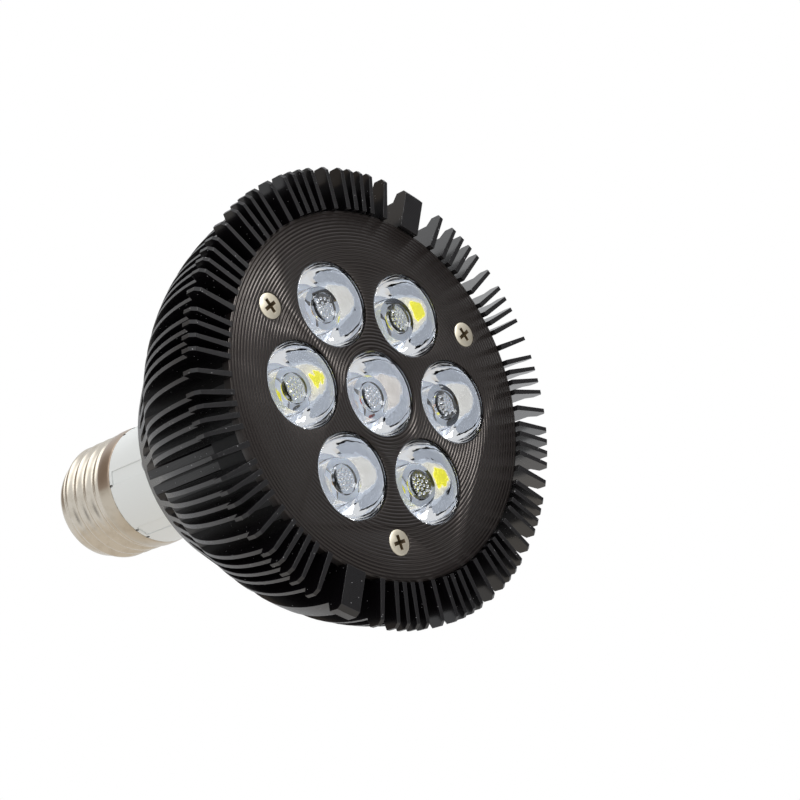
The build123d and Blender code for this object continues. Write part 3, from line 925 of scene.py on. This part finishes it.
@dataclass
class FacePlate:
    """Turned front plate with softened hole edges."""

    edge_mm: float = 0.12

    def build(self) -> None:
        """Copy the plate's solid, merge its triangles and bevel its edges."""
        node = frame["nodes"]["front_plate"]
        plate = copied(node, "front_plate_piece", Vector((0, 0, 0)))
        plate.parent = None
        for key in list(plate.keys()):
            del plate[key]
        activate(plate)
        bpy.ops.object.mode_set(mode="EDIT")
        bpy.ops.mesh.select_all(action="SELECT")
        bpy.ops.mesh.remove_doubles(threshold=WELD)
        bpy.ops.mesh.dissolve_limited(angle_limit=math.radians(0.5))
        bpy.ops.mesh.normals_make_consistent(inside=False)
        bpy.ops.object.mode_set(mode="OBJECT")
        apply_modifier(
            plate, "BEVEL", width=self.edge_mm * MM, segments=2, limit_method="ANGLE",
            angle_limit=math.radians(50),
        )
        bpy.ops.object.shade_smooth_by_angle(angle=math.radians(35))
        Paint.dress(plate, "black_anodised_plate")
        seat(plate, "black_anodised_plate", "front_plate")


@dataclass
class FaceScrew:
    """Countersunk screw with a cross recess and a softly rounded head edge."""

    circle_mm: float = 30.2
    angles: tuple[float, ...] = (90.0, 210.0, 330.0)
    head_mm: float = 2.68
    shank_mm: float = 1.42
    length_mm: float = 7.5
    slot_mm: float = 0.82
    slot_reach_mm: float = 1.62
    slot_depth_mm: float = 1.3
    slot_taper: float = 0.6
    slot_skin_mm: float = 0.08
    turns: tuple[float, ...] = (1.285, 0.935, 0.95)

    def model(self) -> bpy.types.Object:
        """Model one screw about the origin, head face at z = 0."""
        tip = 0.06
        profile = [(tip, 0.0), (self.head_mm - 0.25, 0.02), (self.head_mm - 0.08, 0.1), (self.head_mm, 0.25)]
        neck = 0.3 + self.head_mm - self.shank_mm
        profile += [(self.shank_mm, neck), (self.shank_mm, self.length_mm), (tip, self.length_mm)]
        screw = lathe("face_screw", profile, 64)
        cutter = self.cross()
        apply_modifier(screw, "BOOLEAN", operation="DIFFERENCE", object=cutter, solver="EXACT")
        bpy.data.objects.remove(cutter)
        bpy.ops.object.shade_smooth_by_angle(angle=math.radians(30))
        Paint.dress(screw, "nickel_screws")
        screw.data.materials.append(Paint.get("screw_recess"))
        # the faces inside the recess take the dark brown of painted shade
        for face in screw.data.polygons:
            deep = self.slot_skin_mm * MM < face.center.z < (self.slot_depth_mm + 0.1) * MM
            if deep and face.center.xy.length < self.slot_reach_mm * MM:
                face.material_index = 1
        return screw

    def cross(self) -> bpy.types.Object:
        """Tapered cross that cuts the recess: a small block whose four sides are pulled out and narrowed."""
        deselect()
        depth = self.slot_depth_mm
        width = self.slot_mm
        bpy.ops.mesh.primitive_cube_add(
            size=1, location=(0, 0, (depth / 2 - 0.1) * MM), scale=(width * MM, width * MM, (depth + 0.2) * MM)
        )
        cutter = bpy.context.object
        bpy.ops.object.transform_apply(location=True, rotation=True, scale=True)
        reach = self.slot_reach_mm - width / 2
        for turn in range(4):
            way = polar(1.0, 90.0 * turn)
            side = polar(1.0, 90.0 * turn + 90.0)
            pick(cutter, "FACE", lambda f: f.normal.dot(way) > 0.9 and abs(f.center.dot(side)) < 0.02 * MM)
            bpy.ops.mesh.extrude_region_move(TRANSFORM_OT_translate={"value": way * reach * MM})
            bpy.ops.object.mode_set(mode="OBJECT")
        # the recess narrows downward
        pick(cutter, "VERT", lambda v: v.co.z > depth * 0.5 * MM)
        share = self.slot_taper
        bpy.ops.transform.resize(value=(share, share, 1), center_override=(0, 0, depth * MM))
        bpy.ops.mesh.select_all(action="SELECT")
        bpy.ops.mesh.normals_make_consistent(inside=False)
        bpy.ops.object.mode_set(mode="OBJECT")
        return cutter

    def build(self) -> None:
        """Place the three screws, each turned as it was left by the driver."""
        pattern = self.model()
        for k, (angle, turn) in enumerate(zip(self.angles, self.turns)):
            screw = copied(
                pattern, f"face_screw_{k}_piece", polar(self.circle_mm * MM, angle, FACE_MM * MM), turn
            )
            seat(screw, "nickel_screws", *(("face_screws",) if k == 0 else ()))
        bpy.data.objects.remove(pattern)


# Cap


@dataclass
class ScrewCap:
    """Thin nickelled shell with a rolled round thread, crimped on the housing."""

    crest_mm: float = 13.1
    depth_mm: float = 1.0
    pitch_mm: float = 25.4 / 7
    turns: int = 4
    thread_start_mm: float = 2.7
    thread_phase: float = 0.36
    profile_steps: int = 16
    fade_past_mm: float = 0.15
    skirt_mm: float = 13.4
    skirt_length_mm: float = 4.7
    end_radius_mm: float = 8.4
    wall_mm: float = 0.35
    steps: int = 96
    skirt_segments: int = 180
    punch_angles: tuple[float, ...] = (110.6, 123.8, 173.1, 230.6, 243.8, 293.1, 350.6, 3.8, 53.1)

    def thread(self) -> bpy.types.Object:
        """One pitch of the round thread's profile, turned up the axis and given its wall."""
        deselect()
        mean = self.crest_mm - self.depth_mm / 2
        low = CAP_MM + self.thread_start_mm
        bpy.ops.mesh.primitive_plane_add(size=MM, location=(0, 0, 0))
        obj = bpy.context.object
        obj.name = "shell_thread_piece"
        bpy.ops.object.mode_set(mode="EDIT")
        bpy.ops.mesh.select_all(action="SELECT")
        bpy.ops.mesh.merge(type="CENTER")
        count = self.profile_steps
        points = []
        for k in range(count + 1):
            wave = math.cos(2 * math.pi * (k / count - self.thread_phase))
            radius = mean + self.depth_mm / 2 * wave
            points.append(Vector((radius * MM, 0, (low + self.pitch_mm * k / count) * MM)))
        bpy.ops.transform.translate(value=points[0])
        for a, b in zip(points, points[1:]):
            bpy.ops.mesh.extrude_vertices_move(TRANSFORM_OT_translate={"value": b - a})
        bpy.ops.object.mode_set(mode="OBJECT")
        apply_modifier(
            obj, "SCREW", axis="Z", angle=2 * math.pi, screw_offset=self.pitch_mm * MM,
            iterations=self.turns, steps=self.steps, render_steps=self.steps, use_merge_vertices=True,
            merge_threshold=WELD / 2, use_normal_calculate=True,
        )
        bpy.ops.object.mode_set(mode="EDIT")
        bpy.ops.mesh.select_all(action="SELECT")
        bpy.ops.mesh.remove_doubles(threshold=WELD)
        bpy.ops.mesh.normals_make_consistent(inside=False)
        bpy.ops.object.mode_set(mode="OBJECT")
        self.fade_out(obj, low)
        apply_modifier(obj, "SOLIDIFY", thickness=self.wall_mm * MM, offset=-1)
        bpy.ops.object.shade_smooth_by_angle(angle=math.radians(60))
        return obj

    def fade_out(self, obj: bpy.types.Object, low: float) -> None:
        """Draw the last third of a turn inward, so that the thread runs out under the shoulder.

        Args:
            obj: the thread.
            low: height of the thread's start in millimetres.
        """
        count = self.steps // 3
        for k in range(count):
            foot = (low + self.pitch_mm * (self.turns - k / self.steps)) * MM
            foot += 0.05 * MM
            way = polar(1.0, -360.0 * k / self.steps).xy
            pick(obj, "VERT", lambda v: v.co.z > foot and v.co.xy.normalized().dot(way) > 0.9995)
            share = 1 - (self.depth_mm + self.fade_past_mm) / self.crest_mm * (1 - k / count)
            bpy.ops.transform.resize(value=(share, share, 1), center_override=(0, 0, 0))
            bpy.ops.object.mode_set(mode="OBJECT")

    def skirt(self) -> bpy.types.Object:
        """Plain skirt under the thread, its sheared edge a little jagged."""
        low = CAP_MM
        high = CAP_MM + self.skirt_length_mm
        root = self.crest_mm - self.depth_mm
        inner = self.skirt_mm - self.wall_mm
        profile = [(inner, low + 0.3), (self.skirt_mm - 0.02, low + 0.16), (self.skirt_mm + 0.05, low + 0.3)]
        profile += [(self.skirt_mm + 0.1, low + 0.9), (self.skirt_mm + 0.2, low + 2.2)]
        profile += [(self.skirt_mm + 0.22, high - 1.0), (self.skirt_mm + 0.1, high - 0.4)]
        profile += [(root + 0.9, high + 0.1), (root + 0.4, high + 0.6), (root, high + 1.1), (root - 0.2, high + 1.4)]
        profile += [(root - 0.5, high + 1.3), (root, high + 0.3), (inner - 0.2, high - 0.8)]
        skirt = lathe("shell_skirt_piece", profile, self.skirt_segments, closed=False)
        activate(skirt)
        step = 2 * math.pi / self.skirt_segments
        for residue, shift in ((0, -0.12), (2, 0.1), (3, -0.05)):

            def on_edge(vertex: bpy.types.MeshVertex) -> bool:
                """Whether a vertex lies on the sheared edge at one of the wanted places."""
                number = round(math.atan2(vertex.co.y, vertex.co.x) / step)
                return vertex.co.z < (low + 0.35) * MM and (number * 7) % 5 == residue

            pick(skirt, "VERT", on_edge)
            bpy.ops.transform.translate(value=(0, 0, shift * MM))
            bpy.ops.object.mode_set(mode="OBJECT")
        return skirt

    def shoulder(self) -> bpy.types.Object:
        """Closed end of the shell, rolled in round the insulator."""
        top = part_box("screw_shell")[1].z / MM
        root = self.crest_mm - self.depth_mm
        end = top - 3.0
        profile = [(root - 0.5, end - 2.2), (root + 0.02, end - 2.0), (root + 0.05, end - 0.8)]
        profile += arc_points((root - 1.6, top - 1.6), 1.6, 0, 90, 8)
        profile += [(self.end_radius_mm + 0.1, top), (self.end_radius_mm, top - self.wall_mm)]
        profile += [(root - 1.6, top - self.wall_mm), (root - 0.5, top - 1.7)]
        return lathe("shell_end_piece", profile, 128, closed=False)

    def punch(self) -> bpy.types.Object:
        """Small pit that a crimping punch leaves, coloured dark as painted shade, modelled flat and stood up against
        the collar.
        """
        profile = [(AXIS_MM, -0.1), (0.42, -0.1), (0.42, 0.03), (0.34, 0.06), (0.24, -0.02), (AXIS_MM, -0.04)]
        mark = lathe("punch", profile, 24)
        mark.data.transform(Matrix.Rotation(math.pi / 2, 4, "Y") @ Matrix.Diagonal((1.25, 0.6, 1.0, 1.0)))
        return mark

    def build(self) -> None:
        """Build the shell's three stretches in place of the plain CAD shell, and its punch marks."""
        thread = self.thread()
        Paint.dress(thread, "nickel_shell")
        seat(thread, "nickel_shell", "screw_shell")
        for piece, finish in ((self.skirt(), "nickel_skirt"), (self.shoulder(), "nickel_shell")):
            Paint.dress(piece, finish)
            seat(piece, "nickel_shell")
        pattern = self.punch()
        for k, angle in enumerate(self.punch_angles):
            mark = copied(
                pattern, f"punch_mark_{k}_piece",
                polar((self.skirt_mm + 0.03) * MM, angle, (CAP_MM - 0.4) * MM), math.radians(angle),
            )
            # dark colour of the pit: painted shade
            Paint.dress(mark, "punch_mark")
            seat(mark, "nickel_shell")
        bpy.data.objects.remove(pattern)


# Carried-over solids


@dataclass
class CarriedNodes:
    """CAD nodes whose shape is right: each gets the finish of its slot."""

    def build(self) -> None:
        """Dress every CAD node by its material slot in the record."""
        for row in frame["record"]["subparts"]:
            node = frame["nodes"][row["node"]]
            material = Paint.get(row["material_slot"])
            for slot in node.material_slots:
                slot.material = material
            if not node.material_slots:
                node.data.materials.append(material)


# Stage


@dataclass(frozen=True)
class Patch:
    """A broad patch on the inside of the light tent.

    Attributes:
        toward: direction from the lamp.
        wide: degrees from its middle to the start of its soft edge.
        soft: degrees of the soft edge.
        colour: sRGB hex colour.
        strength: factor on the colour.
    """

    toward: Triple
    wide: float
    soft: float
    colour: str
    strength: float = 1.0


@dataclass
class Studio:
    """Light tent with a pale floor, a soft lamp and the camera of the photograph."""

    focal_px: float = 2050.0
    frame_px: float = 800.0
    sensor_mm: float = 36.0
    camera_mm: Triple = (-272.99, 103.55, -280.3)
    camera_turn: Triple = (-158.753, 42.383, 9.726)
    tent: str = "#f1f2f4"
    tent_strength: float = 0.85
    patches: tuple[Patch, ...] = (
        # table under the photographed lamp: warm and dimmer
        Patch((0.0, 0.97, 0.15), 38.0, 24.0, "#d5cec5", 0.97),
        # window of the tent: white, mirrored by the crests of the thread
        Patch((-0.62, -0.74, 0.25), 18.0, 18.0, "#ffffff", 1.9),
        # open side of the tent: dark, mirrored by the face of the plate
        Patch((0.70, -0.25, -0.67), 14.0, 24.0, "#2f2b2a", 0.9),
        # dim corner of the tent, mirrored by the skirt of the cap and the sides of the fins beside the lug
        Patch((-0.55, -0.45, 0.70), 12.0, 22.0, "#8f857b"),
        # dark place where the camera stands
        Patch((-0.68, 0.25, -0.69), 12.0, 10.0, "#2c2c2e", 0.8),
    )

    def camera(self) -> None:
        """Camera at the photograph's place; it looks up at the face of the lamp."""
        data = bpy.data.cameras.new("photo_camera")
        data.sensor_width = self.sensor_mm
        data.lens = self.focal_px / self.frame_px * self.sensor_mm
        data.clip_start = 0.01
        data.clip_end = 20.0
        camera = bpy.data.objects.new("photo_camera", data)
        camera.location = Vector(self.camera_mm) * MM
        camera.rotation_mode = "XYZ"
        camera.rotation_euler = [math.radians(a) for a in self.camera_turn]
        bpy.context.scene.collection.objects.link(camera)
        bpy.context.scene.camera = camera

    def floor(self) -> None:
        """Pale floor seen only from above, so that the lamp can be photographed from below."""
        deselect()
        bpy.ops.mesh.primitive_grid_add(x_subdivisions=4, y_subdivisions=4, size=6.0, location=(0, 0, -0.0002))
        floor = bpy.context.object
        floor.name = "floor"
        material, tree, output = blank_material("pale_floor")
        path = add_node(tree, "ShaderNodeLightPath")
        side = add_node(tree, "ShaderNodeNewGeometry")
        above = reckon(tree, "SUBTRACT", 1.0, side.outputs["Backfacing"])
        seen = reckon(tree, "MULTIPLY", above, path.outputs["Is Camera Ray"])
        clear = add_node(tree, "ShaderNodeBsdfTransparent")
        paper = add_node(tree, "ShaderNodeBsdfDiffuse", None, {"Color": linear("#f2f2f0")})
        parts = {0: seen, 1: clear.outputs[0], 2: paper.outputs[0]}
        mix = add_node(tree, "ShaderNodeMixShader", None, None, parts)
        tree.links.new(mix.outputs[0], output.inputs["Surface"])
        floor.data.materials.append(material)

    def world(self) -> None:
        """White to the camera, the inside of a light tent to everything else."""
        world = bpy.data.worlds.new("light_tent")
        bpy.context.scene.world = world
        world.use_nodes = True
        tree = world.node_tree
        tree.nodes.clear()
        output = tree.nodes.new("ShaderNodeOutputWorld")
        way = add_node(tree, "ShaderNodeTexCoord").outputs["Generated"]
        colour = linear(self.tent, self.tent_strength)
        for patch in self.patches:
            middle = tuple(Vector(patch.toward).normalized())
            near = reckon(tree, "DOT_PRODUCT", way, middle, vector=True)
            inside = add_node(
                tree, "ShaderNodeMapRange", {"interpolation_type": "SMOOTHSTEP"},
                {
                    "From Min": math.cos(math.radians(patch.wide + patch.soft)),
                    "From Max": math.cos(math.radians(patch.wide)),
                },
                {"Value": near},
            ).outputs["Result"]
            colour = mixed(tree, inside, colour, linear(patch.colour, patch.strength))
        path = add_node(tree, "ShaderNodeLightPath")
        soft = add_node(tree, "ShaderNodeBackground", None, None, {"Color": colour})
        white = add_node(tree, "ShaderNodeBackground", None, {"Color": (1, 1, 1, 1), "Strength": 1.0})
        mix = add_node(
            tree, "ShaderNodeMixShader", None, None,
            {0: path.outputs["Is Camera Ray"], 1: soft.outputs[0], 2: white.outputs[0]},
        )
        tree.links.new(mix.outputs[0], output.inputs["Surface"])

    def lamp(self, name: str, place_mm: Triple, size_mm: float, watts: float, aim_mm: Triple) -> None:
        """Add one soft square lamp.

        Args:
            name: name of the lamp.
            place_mm: where it hangs.
            size_mm: its side.
            watts: its power.
            aim_mm: the point that it faces.
        """
        data = bpy.data.lights.new(name, "AREA")
        data.shape = "SQUARE"
        data.size = size_mm * MM
        data.energy = watts
        lamp = bpy.data.objects.new(name, data)
        lamp.location = Vector(place_mm) * MM
        direction = Vector(aim_mm) - Vector(place_mm)
        lamp.rotation_mode = "QUATERNION"
        lamp.rotation_quaternion = direction.to_track_quat("-Z", "Y")
        bpy.context.scene.collection.objects.link(lamp)

    def build(self) -> None:
        """Set the stage."""
        bpy.context.scene.view_settings.view_transform = "Standard"
        self.camera()
        self.floor()
        self.world()
        # lamp that the grooves of the plate mirror along one line
        self.lamp("groove_lamp", (50.0, -460.0, -640.0), 240.0, 3.2, (0.0, 0.0, 30.0))


def main() -> None:
    """Build the lamp and its stage in order."""
    logging.basicConfig(level=logging.INFO, format="%(name)s: %(message)s")
    for part in (CarriedNodes(), FacePlate(), LensField(), FaceScrew(), ScrewCap(), Studio()):
        part.build()
        LOG.info("built %s", type(part).__name__)


if __name__ == "__main__":
    main()
